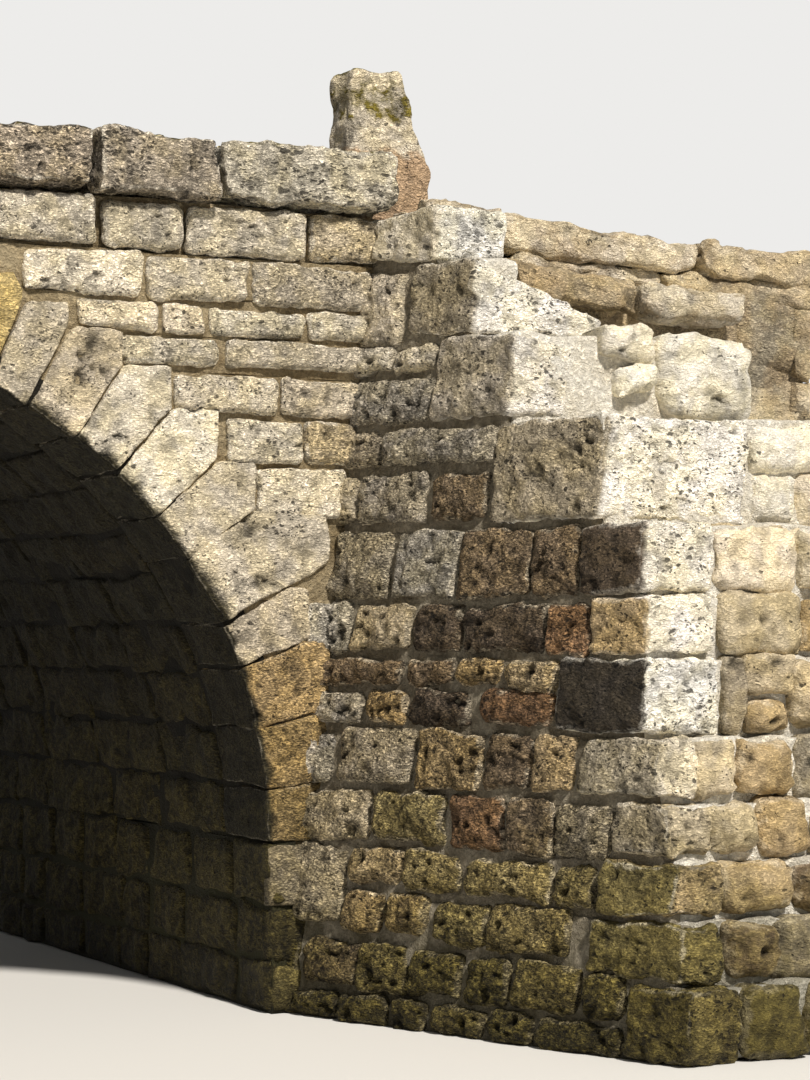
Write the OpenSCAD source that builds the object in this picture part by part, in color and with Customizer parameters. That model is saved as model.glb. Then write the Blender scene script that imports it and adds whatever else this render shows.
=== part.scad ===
// Small stone arch bridge over a stream. One semicircular barrel springs from straight abutments,
// with a ring of cut arch stones in each face, spandrel walls under a plain coping, and splayed,
// battered wing walls that step down to their corner stones. Rubble walls hold the approaches.
// X runs along the road, Y along the stream, and Z up from the foot of the walls at low water.

/* [Arch] */
// Clear span between the abutment faces
span = 3900; // [3600:50:4800]
// Height of the springing above the foot of the walls
spring_h = 680; // [560:20:1200]
// Depth of the arch stones, measured along the radius
ring_depth = 340; // [280:10:420]
// Number of arch stones in each face ring, odd so that a keystone closes it
ring_stones = 27; // [21:2:33]
// How far the face arch stones reach in under the bridge
ring_w = 450; // [350:10:600]
// Walling over the crown of the ring, up to the upper course
crown_cover = 50; // [30:5:150]
// Width of the joints between cut stones
joint = 8; // [4:1:15]

/* [Bridge] */
// Width of the bridge between its spandrel faces
bridge_w = 4200; // [3600:50:6000]
// Thickness of the spandrel walls
spandrel_t = 450; // [350:10:600]
// Thickness of the abutments behind their faces
abutment_t = 950; // [850:10:1400]
// Height of the upper course, under the coping
upper_h = 215; // [180:5:280]
// Depth of the road bed
road_t = 150; // [80:5:180]
// Drop from the top of the upper course to the road
road_drop = 25; // [5:5:60]

/* [Coping] */
// Height of the coping stones
coping_h = 255; // [180:5:320]
// How far the coping stands out over the wall
coping_over = 50; // [20:5:90]
// How far the coping runs past the abutment faces
coping_past = 565; // [450:5:700]
// Worn edge along the top of the coping
coping_edge = 22; // [10:2:50]

/* [Wing walls] */
// Distance from the abutment face to the root of the wing face, at its foot
wing_inset = 70; // [40:5:150]
// Angle of the wing face away from the line of the stream, in degrees
wing_splay = 19.4; // [10:0.2:30]
// Lean of the wing face, in degrees from upright
wing_lean = 6.8; // [3:0.2:9]

/* [Approaches] */
// Length of each approach beyond the abutments
approach_l = 1600; // [900:50:3000]
// How far the approach walls stand out in front of the spandrel faces
approach_out = 200; // [100:10:300]
// Thickness of the approach walls
approach_t = 500; // [350:10:700]
// Thickness of the slabs that cap the approach walls
slab_t = 175; // [100:5:220]
// How far the foremost capping slab stands out over its wall
slab_over = 40; // [10:5:80]

/* [Guard stones] */
// Height of the guard stones over the road
guard_h = 710; // [450:10:900]
// Width of a guard stone at its foot
guard_w = 400; // [280:10:450]
// Width of a guard stone at its top
guard_top = 240; // [150:10:280]
// Depth of a guard stone at its foot, across the road
guard_d = 320; // [260:10:450]
// Depth of a guard stone at its top, across the road
guard_top_d = 225; // [140:5:250]
// Worn corners at the top of a guard stone
guard_worn = 22; // [8:2:35]
// Gap between the end of the coping and a guard stone
guard_gap = 45; // [10:5:150]

/* [Hidden] */
$fn = 96;

// Plan lines, from the middle of the bridge
half_w = bridge_w / 2;
inner_y = half_w - spandrel_t;
face_x = span / 2;
back_x = face_x + abutment_t;
end_x = back_x + approach_l;
coping_x = face_x + coping_past;
wing_x = face_x + wing_inset;
approach_y = half_w + approach_out;
approach_inner_y = approach_y - approach_t;

// Levels
intrados_r = span / 2;
extrados_r = intrados_r + ring_depth;
upper_z = spring_h + extrados_r + crown_cover;
coping_z = upper_z + upper_h;
road_z = coping_z - road_drop;
bed_z = road_z - road_t;

// Arch stones: the joints are cut along the radius, and measured on the intrados
stone_angle = 180 / ring_stones;
joint_angle = joint / intrados_r * 180 / PI;

// Coping stones from the middle outwards, the last one taking what is left
coping_middle = 720;
coping_inner = [825, 535];
coping_last = coping_x - coping_middle / 2 - sum(coping_inner);
coping_lengths = concat(coping_inner, [coping_last]);

// Courses of the wing walls from the top down, the lowest one taking what is left: heights, reach
// beyond the spandrel face, and width of the end face
wing_lower_h = [320, 350, 410, 280, 225, 290, 235, 200, 210, 220];
wing_h = concat([upper_h], wing_lower_h, [upper_z - sum(wing_lower_h)]);
wing_reach = [320, 545, 780, 1250, 1470, 1500, 1530, 1630, 1750, 1850, 1920, 1980];
wing_end_w = [350, 520, 600, 680, 1050, 1050, 980, 980, 980, 980, 980, 980];
wing_courses = len(wing_h);

// Corner stones of the same courses: length along the wing and width across its end
corner_l = [320, 310, 380, 520, 300, 250, 400, 380, 240, 300, 320, 400];
corner_w = [350, 520, 300, 600, 300, 280, 310, 330, 220, 300, 280, 350];

// Height of a guard stone's shoulder, as a share of its height over the road
guard_shoulder = 0.45;

// Capping slabs of an approach wall, outwards: shares of its length, and how far each stands back
slab_shares = [0.34, 0.4, 0.26];
slab_back = [0, 55, 25];

big = 2 * (end_x + bridge_w);
stone_buff = "#cdbb94";
stone_grey = "#a59c89";
stone_brown = "#8a7c62";
stone_pale = "#d8ccb2";
earth_brown = "#8c7a60";

// Sum of the first n values of a list
function sum(list, n = -1) = let (m = n < 0 ? len(list) : n) m == 0 ? 0 : list[m - 1] + sum(list, m - 1);

// Level of the top of a wing course
function course_top(i) = coping_z - sum(wing_h, i);

// Distance from the middle of the bridge to the wing's corner, at a course's foot
function corner_x(i) =
    wing_x + wing_reach[i] * tan(wing_splay)
    + course_top(i + 1) * tan(wing_lean) / cos(wing_splay);

// Puts the front right corner's pieces at any of the four corners
module at_corner(left, back) {
    mirror([left, 0, 0])
        mirror([0, back, 0])
            children();
}

// Front of the bridge, or its back
module at_face(back) {
    mirror([0, back, 0])
        children();
}

// A block from its two opposite corners
module block(low, high) {
    translate(low)
        cube(high - low);
}

// The round hollow under the outside of the arch stones
module extrados_hollow() {
    translate([0, half_w + 1, spring_h])
        rotate([90, 0, 0])
            cylinder(r = extrados_r, h = bridge_w + 2, $fn = 180);
}

// One arch stone between two angles, from y_near to y_far
module arch_stone(from, to, y_near, y_far) {
    translate([0, y_far, spring_h])
        rotate([90, 0, 0])
            rotate([0, 0, from])
                rotate_extrude(angle = to - from, $fn = 180)
                    translate([intrados_r, 0])
                        square([ring_depth, y_far - y_near]);
}

// A half ring of arch stones with open joints, seated on both abutments
module arch_stones(y_near, y_far) {
    for (i = [0 : ring_stones - 1]) {
        from = i * stone_angle + (i == 0 ? 0 : joint_angle / 2);
        to = (i + 1) * stone_angle - (i == ring_stones - 1 ? 0 : joint_angle / 2);
        arch_stone(from, to, y_near, y_far);
    }
}

// Voussoirs that show in the face
module arch_ring(back) {
    color(stone_buff)
        at_face(back)
            arch_stones(-half_w, -half_w + ring_w);
}

// Long slabs of the vault between the two face rings
module barrel() {
    color(stone_brown)
        arch_stones(-half_w + ring_w, half_w - ring_w);
}

// Straight wall under the springing, across the whole bridge
module abutment(left) {
    color(stone_brown)
        at_corner(left, 0)
            block([face_x, -half_w, 0], [back_x, half_w, spring_h]);
}

// Coursed wall between the ring and the upper course, on one side of the crown
module spandrel(left, back) {
    color(stone_buff)
        at_corner(left, back)
            difference() {
                block([0, -half_w, spring_h], [back_x, -inner_y, upper_z]);
                extrados_hollow();
            }
}

// Level course right over the crown
module upper_course(back) {
    color(stone_buff)
        at_face(back)
            block([-back_x, -half_w, upper_z], [back_x, -inner_y, coping_z]);
}

// Section of the coping, with its worn upper edges
module coping_section() {
    low_y = -half_w - coping_over;
    polygon([
        [low_y, coping_z],
        [-inner_y, coping_z],
        [-inner_y, coping_z + coping_h - coping_edge],
        [-inner_y - coping_edge, coping_z + coping_h],
        [low_y + coping_edge, coping_z + coping_h],
        [low_y, coping_z + coping_h - coping_edge]
    ]);
}

// One coping stone between two places along the bridge
module coping_stone(from, to) {
    translate([from, 0, 0])
        rotate([90, 0, 90])
            linear_extrude(to - from)
                coping_section();
}

// Coping stones with open joints, the same on both sides of the middle one
module coping(back) {
    color(stone_grey)
        at_face(back) {
            coping_stone(-(coping_middle - joint) / 2, (coping_middle - joint) / 2);
            for (left = [0, 1], i = [0 : len(coping_lengths) - 1]) {
                from = coping_middle / 2 + sum(coping_lengths, i);
                mirror([left, 0, 0])
                    coping_stone(from + joint / 2, from + coping_lengths[i] - joint / 2);
            }
        }
}

// Rubble packed over the haunch of the barrel and behind the spandrels
module haunch_fill(left) {
    color(earth_brown)
        at_corner(left, 0)
            difference() {
                block([0, -inner_y, spring_h], [back_x, inner_y, bed_z]);
                extrados_hollow();
            }
}

// Rubble and earth held between the approach walls
module approach_core(left) {
    color(earth_brown)
        at_corner(left, 0)
            block([back_x, -approach_inner_y, 0], [end_x, approach_inner_y, bed_z]);
}

// Plan of a guard stone's foot, which is set down into the road bed
module guard_plan() {
    translate([coping_x + guard_gap, -inner_y])
        square([guard_w, guard_d]);
}

// Road bed over the bridge, and wider over the approaches, with a pocket for each guard stone
module road_bed() {
    color(earth_brown)
        translate([0, 0, bed_z])
            linear_extrude(road_t)
                difference() {
                    union() {
                        square([2 * back_x, 2 * inner_y], center = true);
                        for (left = [0, 1])
                            mirror([left, 0])
                                translate([back_x, -approach_inner_y])
                                    square([approach_l, 2 * approach_inner_y]);
                    }
                    for (left = [0, 1], back = [0, 1])
                        mirror([left, 0])
                            mirror([0, back])
                                guard_plan();
                }
}

// Everything behind the battered, splayed face of a wing
module behind_wing_face() {
    translate([wing_x, -half_w, 0])
        rotate([0, 0, wing_splay])
            rotate([0, wing_lean, 0])
                translate([0, -big, -big])
                    cube([big, 2 * big, 2 * big]);
}

// The space of the approach wall, which the wing stops against
module approach_space() {
    block([back_x, -approach_y, -1], [end_x, -approach_inner_y, coping_z + 1]);
}

// One level course of a wing, before its face is dressed to the batter
module wing_course(i) {
    block([face_x, -half_w - wing_reach[i], course_top(i + 1)],
        [corner_x(i) + wing_end_w[i], -half_w, course_top(i)]);
}

// Room for the corner stone of a course, with its bed joint when bed is joint
module corner_room(i, bed) {
    block([face_x, -half_w - wing_reach[i], course_top(i + 1)],
        [corner_x(i) + corner_w[i], -half_w - wing_reach[i] + corner_l[i], course_top(i) - bed]);
}

// Coursed wing wall, less its corner stones
module wing(left, back) {
    color(stone_grey)
        at_corner(left, back)
            difference() {
                intersection() {
                    union()
                        for (i = [0 : wing_courses - 1])
                            wing_course(i);
                    behind_wing_face();
                }
                approach_space();
                for (i = [0 : wing_courses - 1])
                    corner_room(i, 0);
            }
}

// Dressed blocks that step up the end of a wing
module wing_corner(left, back) {
    color(stone_pale)
        at_corner(left, back)
            intersection() {
                for (i = [0 : wing_courses - 1])
                    corner_room(i, joint);
                behind_wing_face();
            }
}

// Rubble wall that holds an approach, up to its capping slabs
module approach_wall(left, back) {
    color(stone_pale)
        at_corner(left, back)
            block([back_x, -approach_y, 0], [end_x, -approach_inner_y, coping_z - slab_t]);
}

// Rough slabs along the top of an approach wall
module approach_slabs(left, back) {
    color(stone_pale)
        at_corner(left, back)
            for (i = [0 : len(slab_shares) - 1]) {
                from = back_x + approach_l * sum(slab_shares, i);
                to = back_x + approach_l * sum(slab_shares, i + 1);
                block([from, -approach_y - slab_over + slab_back[i], coping_z - slab_t],
                    [to - joint, -approach_inner_y, coping_z]);
            }
}

// Upright part of a guard stone: its outer side leans in above the shoulder, and its top is worn
module guard_shaft() {
    shoulder_w = (guard_w + guard_top) / 2 + guard_worn;
    top_inset = (guard_d - guard_top_d) / 2;
    intersection() {
        translate([0, guard_d, 0])
            rotate([90, 0, 0])
                linear_extrude(guard_d)
                    polygon([
                        [0, 0],
                        [guard_w, 0],
                        [shoulder_w, guard_h * guard_shoulder],
                        [guard_top + guard_worn, guard_h - 2 * guard_worn],
                        [guard_top - guard_worn, guard_h],
                        [guard_worn, guard_h],
                        [0, guard_h - 2 * guard_worn]
                    ]);
        rotate([90, 0, 90])
            linear_extrude(guard_w)
                polygon([
                    [0, 0],
                    [guard_d, 0],
                    [guard_d - top_inset, guard_h],
                    [top_inset, guard_h]
                ]);
    }
}

// A rough upright stone beside the road, with its foot down in the road bed
module guard_stone() {
    translate([0, 0, bed_z])
        linear_extrude(road_t)
            guard_plan();
    translate([coping_x + guard_gap, -inner_y, road_z])
        guard_shaft();
}

// The guard stones at the four ends of the copings
module guard_stones() {
    color(stone_pale)
        for (left = [0, 1], back = [0, 1])
            at_corner(left, back)
                guard_stone();
}

abutment(1);  // abutment_left
abutment(0);  // abutment_right
arch_ring(0);  // arch_ring_front
arch_ring(1);  // arch_ring_back
barrel();
spandrel(1, 0);  // spandrel_front_left
spandrel(0, 0);  // spandrel_front_right
spandrel(1, 1);  // spandrel_back_left
spandrel(0, 1);  // spandrel_back_right
upper_course(0);  // upper_course_front
upper_course(1);  // upper_course_back
coping(0);  // coping_front
coping(1);  // coping_back
haunch_fill(1);  // haunch_fill_left
haunch_fill(0);  // haunch_fill_right
approach_core(1);  // approach_core_left
approach_core(0);  // approach_core_right
road_bed();
wing(1, 0);  // wing_front_left
wing(0, 0);  // wing_front_right
wing(1, 1);  // wing_back_left
wing(0, 1);  // wing_back_right
wing_corner(1, 0);  // wing_corner_front_left
wing_corner(0, 0);  // wing_corner_front_right
wing_corner(1, 1);  // wing_corner_back_left
wing_corner(0, 1);  // wing_corner_back_right
approach_wall(1, 0);  // approach_wall_front_left
approach_wall(0, 0);  // approach_wall_front_right
approach_wall(1, 1);  // approach_wall_back_left
approach_wall(0, 1);  // approach_wall_back_right
approach_slabs(1, 0);  // approach_slabs_front_left
approach_slabs(0, 0);  // approach_slabs_front_right
approach_slabs(1, 1);  // approach_slabs_back_left
approach_slabs(0, 1);  // approach_slabs_back_right
guard_stones();
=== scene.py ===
"""A small stone arch bridge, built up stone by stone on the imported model.

X runs along the road, Y across it, and Z up from the foot of the walls. The walls are laid for the
front right corner and turned to the other three.
"""

import math

import bpy
import numpy as np
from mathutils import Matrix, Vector


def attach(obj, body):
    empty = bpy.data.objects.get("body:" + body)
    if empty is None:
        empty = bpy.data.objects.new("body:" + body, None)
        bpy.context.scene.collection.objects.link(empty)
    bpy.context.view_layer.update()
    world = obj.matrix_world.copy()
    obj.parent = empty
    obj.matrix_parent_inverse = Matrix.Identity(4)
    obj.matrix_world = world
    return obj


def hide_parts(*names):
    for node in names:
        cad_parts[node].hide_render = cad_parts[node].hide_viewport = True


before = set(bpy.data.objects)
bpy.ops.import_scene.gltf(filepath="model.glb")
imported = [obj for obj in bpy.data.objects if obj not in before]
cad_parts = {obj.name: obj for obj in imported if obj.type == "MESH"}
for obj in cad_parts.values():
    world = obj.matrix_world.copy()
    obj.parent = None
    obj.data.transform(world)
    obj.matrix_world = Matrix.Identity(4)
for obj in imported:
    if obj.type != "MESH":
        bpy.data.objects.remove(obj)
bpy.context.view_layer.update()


# The view: a pale floor at the walls' feet, a broad lamp high in front, light from all round,
# and a camera low down, left of the middle and looking up a little at the right half.
class Socket:
    """A shader socket; arithmetic on it adds Math nodes, and add() puts in any other node."""

    def __init__(self, tree, socket=None):
        self.tree, self.socket = tree, socket

    def add(self, kind, inputs=None, out=0, **settings):
        node = self.tree.nodes.new(kind)
        for name, value in settings.items():
            setattr(node, name, value)
        for name, value in (inputs or {}).items():
            if isinstance(value, Socket):
                self.tree.links.new(value.socket, node.inputs[name])
            else:
                node.inputs[name].default_value = value
        return Socket(self.tree, node.outputs[out] if node.outputs else None)

    def maths(self, operation, *values):
        return self.add("ShaderNodeMath", dict(enumerate(values)), operation=operation)

    def __add__(self, other):
        return self.maths("ADD", self, other)

    def __sub__(self, other):
        return self.maths("SUBTRACT", self, other)

    def __rsub__(self, other):
        return self.maths("SUBTRACT", other, self)

    def __mul__(self, other):
        return self.maths("MULTIPLY", self, other)

    __radd__, __rmul__ = __add__, __mul__

    def beside(self, name):
        """Another output of the same node."""
        return Socket(self.tree, self.socket.node.outputs[name])

    def larger(self, other):
        return self.maths("MAXIMUM", self, other)

    def between(self, low, high):
        """0 up to low, 1 from high, and smooth between them."""
        values = {"Value": self, "From Min": low, "From Max": high}
        return self.add("ShaderNodeMapRange", values, interpolation_type="SMOOTHSTEP")

    def scaled(self, share):
        """A colour or vector times a number."""
        return self.add("ShaderNodeVectorMath", {0: self, "Scale": share}, operation="SCALE")

    def times(self, shares):
        """A colour or vector times another, part by part."""
        return self.add("ShaderNodeVectorMath", {0: self, 1: shares}, operation="MULTIPLY")

    def part(self, axis):
        return self.add("ShaderNodeSeparateXYZ", {0: self}, out=axis)

    def noise(self, scale, detail=2, rough=0.5, out="Fac"):
        """Noise over this place."""
        values = {"Vector": self, "Scale": scale, "Detail": detail, "Roughness": rough}
        return self.add("ShaderNodeTexNoise", values, out=out)

    def scatter(self, scale):
        """How far this place is from the nearest of scattered points."""
        return self.add("ShaderNodeTexVoronoi", {"Vector": self, "Scale": scale}, out="Distance")

    def blend(self, low, high):
        """The colour low where this mask is 0, and high where it is 1."""
        values = {0: self, 6: low, 7: high}
        return self.add("ShaderNodeMix", values, out=2, data_type="RGBA")


def tone(code):
    """A colour written as RRGGBB, as the linear values that shaders take."""
    parts = [int(code[i : i + 2], 16) / 255 for i in (0, 2, 4)]
    return (*[p / 12.92 if p < 0.04045 else ((p + 0.055) / 1.055) ** 2.4 for p in parts], 1)


def material(name):
    made = bpy.data.materials.new(name)
    made.use_nodes = True
    made.node_tree.nodes.clear()
    return made, Socket(made.node_tree)


def surface(tree, colour, roughness, height=None, depth=0.004):
    """Ends a material: a dull surface of that colour, with the relief of height."""
    values = {"Base Color": colour, "Roughness": roughness, "Specular IOR Level": 0.25}
    if height is not None:
        values["Normal"] = tree.add("ShaderNodeBump", {"Height": height, "Distance": depth})
    shader = tree.add("ShaderNodeBsdfPrincipled", values)
    tree.add("ShaderNodeOutputMaterial", {"Surface": shader})


def clear_selection():
    bpy.ops.object.select_all(action="DESELECT")


clear_selection()
floor_finish, tree = material("floor_paint")
surface(tree, tone("D8D7D4"), 0.9)
bpy.ops.mesh.primitive_circle_add(vertices=96, radius=70, fill_type="NGON")
floor = bpy.context.object
floor.name = "studio_floor"
floor.data.materials.append(floor_finish)

world = bpy.data.worlds.new("studio")
world.use_nodes = True
world.node_tree.nodes.clear()
sky = Socket(world.node_tree)
path = [sky.add("ShaderNodeLightPath", out=ray) for ray in
        ("Is Camera Ray", "Is Glossy Ray", "Is Transmission Ray")]
seen = path[0].larger(path[1]).larger(path[2])
backdrop = sky.add("ShaderNodeBackground", {"Color": seen.blend(tone("8C8C8B"), tone("EDECEA"))})
sky.add("ShaderNodeOutputWorld", {"Surface": backdrop})
bpy.context.scene.world = world

lamp_from = Vector((0.0, -0.70, 0.74))
bpy.ops.object.light_add(type="SUN", location=lamp_from * 20)
lamp = bpy.context.object
lamp.name = "studio_lamp"
lamp.rotation_euler = lamp_from.to_track_quat("Z", "Y").to_euler()
lamp.data.energy = 4.5
lamp.data.angle = math.radians(5)
lamp.data.color = tone("FFF8EE")[:3]

heading, rise = math.radians(27.9), math.radians(1.88)
look = Vector((math.sin(heading) * math.cos(rise), math.cos(heading) * math.cos(rise),
               math.sin(rise)))
camera_data = bpy.data.cameras.new("view")
camera_data.lens = 88.3
camera_data.sensor_width = 36
camera_data.clip_end = 300
camera = bpy.data.objects.new("view", camera_data)
camera.location = (-2.532, -11.72, 1.544)
camera.rotation_euler = look.to_track_quat("-Z", "Y").to_euler()
bpy.context.scene.collection.objects.link(camera)
bpy.context.scene.camera = camera
bpy.context.scene.view_settings.view_transform = "Standard"


# The abutments: straight walls of squared limestone under the springing, bedded in lime mortar.
# Their stones are cut from blanks: a face grid whose rim goes back into the wall, closed behind.
half_w = 2.1
face_x = 1.95
back_x = 2.9
spring_z = 0.68
crown_v = spring_z + math.pi * face_x / 2
ENDS, FACES = ("right", "left"), ("front", "back")
CORNERS = [(left, back, f"{FACES[back]}_{ENDS[left]}") for back in (0, 1) for left in (0, 1)]
SHOWN = "front_right"
PALETTE = {
    "white": "ECE5D4", "chalk": "FBF6EA", "light": "F2E6CD", "pale": "DCD0B9", "cream": "D3C4A6",
    "linen": "CDC1AA", "buff": "BFAF90", "tan": "B29D78", "sand": "9E8862", "fawn": "8C7750",
    "grey": "B4AB9A", "weather": "CABCA6", "dull": "A0957F", "brown": "7F6E57",
    # shade is near black: damp dark stone in the vault, darkened further as painted shade, and
    # painted shade on the arch soffits.
    "russet": "86694D", "soot": "5C5042", "black": "39332B", "shade": "2F2B1E",
    "lichen": "8C7E56", "olive": "7F7349", "moss": "5F5630", "yellow": "C8B27A",
}
LATTICE_CELLS = 32
lattice = np.random.default_rng(11).uniform(-1, 1, (*[LATTICE_CELLS] * 3, 3))
SWELL, DENT, CREASE, CHIP, GRIT = 0.19, 0.075, 0.10, 0.035, 0.017
# PIT_DARK is the pit radius that gets full painted shade; on coarse cells pits get less of it.
PIT_DARK, PIT_DEEP, PIT_RAG = 0.022, 0.03, 0.02


def lumps(places):
    """Smooth random vectors, one for each place, that change over about one unit."""
    low = np.floor(places).astype(int)
    part = places - low
    part = part * part * (3 - 2 * part)
    total = np.zeros_like(part)
    for corner in np.ndindex(2, 2, 2):
        share = np.prod(np.where(corner, part, 1 - part), axis=1)
        i, j, k = ((low + corner) % LATTICE_CELLS).T
        total += share[:, None] * lattice[i, j, k]
    return total


blanks = {}


def take_blank(key):
    """Reads the active object's mesh as a blank, and removes the object."""
    shape = bpy.context.object.data
    places = np.empty(len(shape.vertices) * 3, np.float32)
    shape.vertices.foreach_get("co", places)
    corners = np.empty(len(shape.loops), np.int32)
    shape.loops.foreach_get("vertex_index", corners)
    starts = np.empty(len(shape.polygons), np.int32)
    shape.polygons.foreach_get("loop_start", starts)
    bpy.ops.object.delete()
    bpy.data.meshes.remove(shape)
    blanks[key] = places.reshape(-1, 3).astype(float), corners, starts


def face_blank(across, up):
    """A grid in two directions, its rim drawn back twice and closed behind."""
    if (across, up) not in blanks:
        clear_selection()
        bpy.ops.mesh.primitive_grid_add(x_subdivisions=across, y_subdivisions=up, size=2)
        bpy.ops.object.mode_set(mode="EDIT")
        bpy.ops.mesh.select_mode(type="EDGE")
        bpy.ops.mesh.region_to_loop()
        for _ in range(2):
            bpy.ops.mesh.extrude_edges_move(TRANSFORM_OT_translate={"value": (0, 0, -1)})
        bpy.ops.mesh.edge_face_add()
        bpy.ops.mesh.select_all(action="SELECT")
        bpy.ops.mesh.normals_make_consistent(inside=False)
        bpy.ops.object.mode_set(mode="OBJECT")
        take_blank((across, up))
    return blanks[across, up]


def block_blank(*cuts):
    """A cube with its own number of cells along each direction."""
    if cuts not in blanks:
        clear_selection()
        bpy.ops.mesh.primitive_cube_add(size=2)
        for axis, count in enumerate(cuts):
            shape = bpy.context.object.data
            ends = [[shape.vertices[v].co for v in edge.vertices] for edge in shape.edges]
            along = [abs(a[axis] - b[axis]) > 1.5 for a, b in ends]
            bpy.ops.object.mode_set(mode="EDIT")
            bpy.ops.mesh.select_mode(type="EDGE")
            bpy.ops.mesh.select_all(action="DESELECT")
            bpy.ops.object.mode_set(mode="OBJECT")
            shape.edges.foreach_set("select", along)
            bpy.ops.object.mode_set(mode="EDIT")
            bpy.ops.mesh.subdivide(number_cuts=count - 1)
            bpy.ops.object.mode_set(mode="OBJECT")
        take_blank(cuts)
    return blanks[cuts]


def grid_lines(cells, size, edge):
    """Where a blank's lines go along a side of that size: close together over its worn edges."""
    edge = min(edge, size * 0.3)
    inner = np.linspace(edge, size - edge, cells - 3)
    return np.concatenate([[0, 0.29 * edge], inner, [size - 0.29 * edge, size]])


def cells_for(size, cell):
    """An even number of cells for a side, so that few sizes of blank are needed."""
    return int(np.clip(2 * round(size / cell / 2) + 4, 6, 60))


def worn(distance, edge):
    """Moves points in from a block's square edges, to round them."""
    share = np.clip(1 - distance / edge, 0, 1)
    length = np.linalg.norm(share, axis=1, keepdims=True)
    share = share / np.maximum(length, 1)
    return np.where(distance < edge, edge * (1 - share), distance), np.minimum(length[:, 0], 1)


class Masonry:
    """Stones gathered into one mesh, each with its own colour and its own rough surface."""

    def __init__(self, seed, cell, rough=0.006, wobble=0.010):
        self.random = np.random.default_rng(seed)
        self.cell, self.rough, self.wobble = cell, rough, wobble
        self.pit_size = min(max(1.3 * cell, 0.016), 0.04)
        self.pit_shade = min(1, PIT_DARK / cell)
        self.points, self.corners, self.starts, self.traits = [], [], [], []
        self.point_count = self.corner_count = 0

    def take(self, blank, places, inward, rim, colour, pits=0, rough=1.0, holes=()):
        """Roughens a fitted blank and keeps it. Pits are hollows along inward, a vector each;
        holes are big ones at chosen places, each with its radius. Sunken places, pits and holes
        are also marked for painted shade, a darkening kept for each point."""
        offset = self.random.uniform(0, LATTICE_CELLS, 3)
        creases = np.abs(lumps(places / CREASE + offset[::-1])[:, :1])
        moved = places + self.wobble * rough * lumps(places / SWELL + offset)
        moved += 0.6 * self.wobble * rough * lumps(places / DENT + offset)
        fine = lumps(places / CHIP + offset) + 0.5 * lumps(places / GRIT + offset)
        fine += 1.2 * creases * inward
        moved += self.rough * rough * fine
        # Painted shade: points where the fine relief sinks inward are marked for darkening.
        hollow = np.clip(0.5 * (fine * inward).sum(1) - 0.1, 0, 0.6)
        open_face = np.flatnonzero(rim < 0.6)
        ragged = 1 + 0.6 * lumps(places / PIT_RAG + offset)[:, 0]
        spots = [(places[self.random.choice(open_face)],
                  self.random.uniform(0.8, 1.0) * self.pit_size * self.random.choice((0.6, 1, 1.7)))
                 for _ in range(pits if len(open_face) else 0)]
        # Pits and holes are dug in and marked for painted shade, darkest at their middle.
        for middle, radius in [*spots, *holes]:
            stretch = self.random.uniform(0.8, 1.9)
            away = np.linalg.norm((places - middle) * [1, 1, stretch], axis=1) * ragged
            depth = np.clip(1.4 - 1.4 * away / radius, 0, 1)
            hollow = np.maximum(hollow, depth * min(1, radius / PIT_DARK) * self.pit_shade)
            moved += (depth * min(radius, PIT_DEEP) * 0.9)[:, None] * inward
        moved[:, 2] = np.maximum(moved[:, 2], 0)
        shade = self.random.uniform(0.86, 1.10)
        warmth = self.random.uniform(-0.02, 0.02)
        tint = np.array([1 + warmth, 1, 1 - warmth]) * shade
        own = np.array(tone(PALETTE[colour])[:3]) if isinstance(colour, str) else colour
        traits = np.empty((len(places), 5))
        traits[:, :3] = own * tint
        traits[:, 3], traits[:, 4] = rim, hollow
        self.points.append(moved)
        self.traits.append(traits)
        self.corners.append(blank[1] + self.point_count)
        self.starts.append(blank[2] + self.corner_count)
        self.point_count += len(places)
        self.corner_count += len(blank[1])

    def stone(self, place, outline, colour, proud=0.0, depth=0.07, edge=0.016, pits=0, rough=1.0,
              bulge=0.006, jitter=0.006, holes=(), cell=None):
        """A wall stone: outline is its lower left, lower right, upper right and upper left."""
        outline = np.array(outline, float) + self.random.uniform(-jitter, jitter, (4, 2))
        width = (outline[1, 0] - outline[0, 0] + outline[2, 0] - outline[3, 0]) / 2
        height = (outline[3, 1] - outline[0, 1] + outline[2, 1] - outline[1, 1]) / 2
        edge = min(edge * self.random.uniform(0.7, 1.6), 0.28 * min(width, height))
        cell = cell or self.cell
        across, up = cells_for(width, cell), cells_for(height, cell)
        blank = face_blank(across, up)
        column = np.rint((blank[0][:, 0] + 1) / 2 * across).astype(int)
        row = np.rint((blank[0][:, 1] + 1) / 2 * up).astype(int)
        level = np.rint(-blank[0][:, 2]).astype(int)
        x, y = grid_lines(across, width, edge)[column], grid_lines(up, height, edge)[row]
        near = np.stack([np.minimum(x, width - x), np.minimum(y, height - y)], 1)
        moved, length = worn(near, edge)
        x = np.where(x < width / 2, moved[:, 0], width - moved[:, 0]) / width
        y = np.where(y < height / 2, moved[:, 1], height - moved[:, 1]) / height
        flat = (outline[0] * ((1 - x) * (1 - y))[:, None] + outline[1] * (x * (1 - y))[:, None]
                + outline[2] * (x * y)[:, None] + outline[3] * ((1 - x) * y)[:, None])
        out = proud - edge * (1 - np.sqrt(np.maximum(1 - length * length, 0)))
        out += bulge * 16 * x * (1 - x) * y * (1 - y)
        out = np.where(level == 1, proud - edge - 0.01, np.where(level == 2, -depth, out))
        rim = np.where(level > 0, 1.0, np.clip(1 - near.min(1) / (edge * 1.6), 0, 1))
        spot = place(flat[:, 0], flat[:, 1], out)
        inward = place(flat[:, 0], flat[:, 1], out - 0.01) - spot
        inward /= np.linalg.norm(inward, axis=1, keepdims=True)
        self.take(blank, spot, inward, rim, colour, pits, rough, holes)

    def bed(self, place, outline, colour, proud, depth=0.12, edge=0.002):
        """A plain stretch of the mortar that stones are bedded in."""
        self.stone(place, outline, colour, proud, depth, edge, bulge=0, jitter=0)

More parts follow.
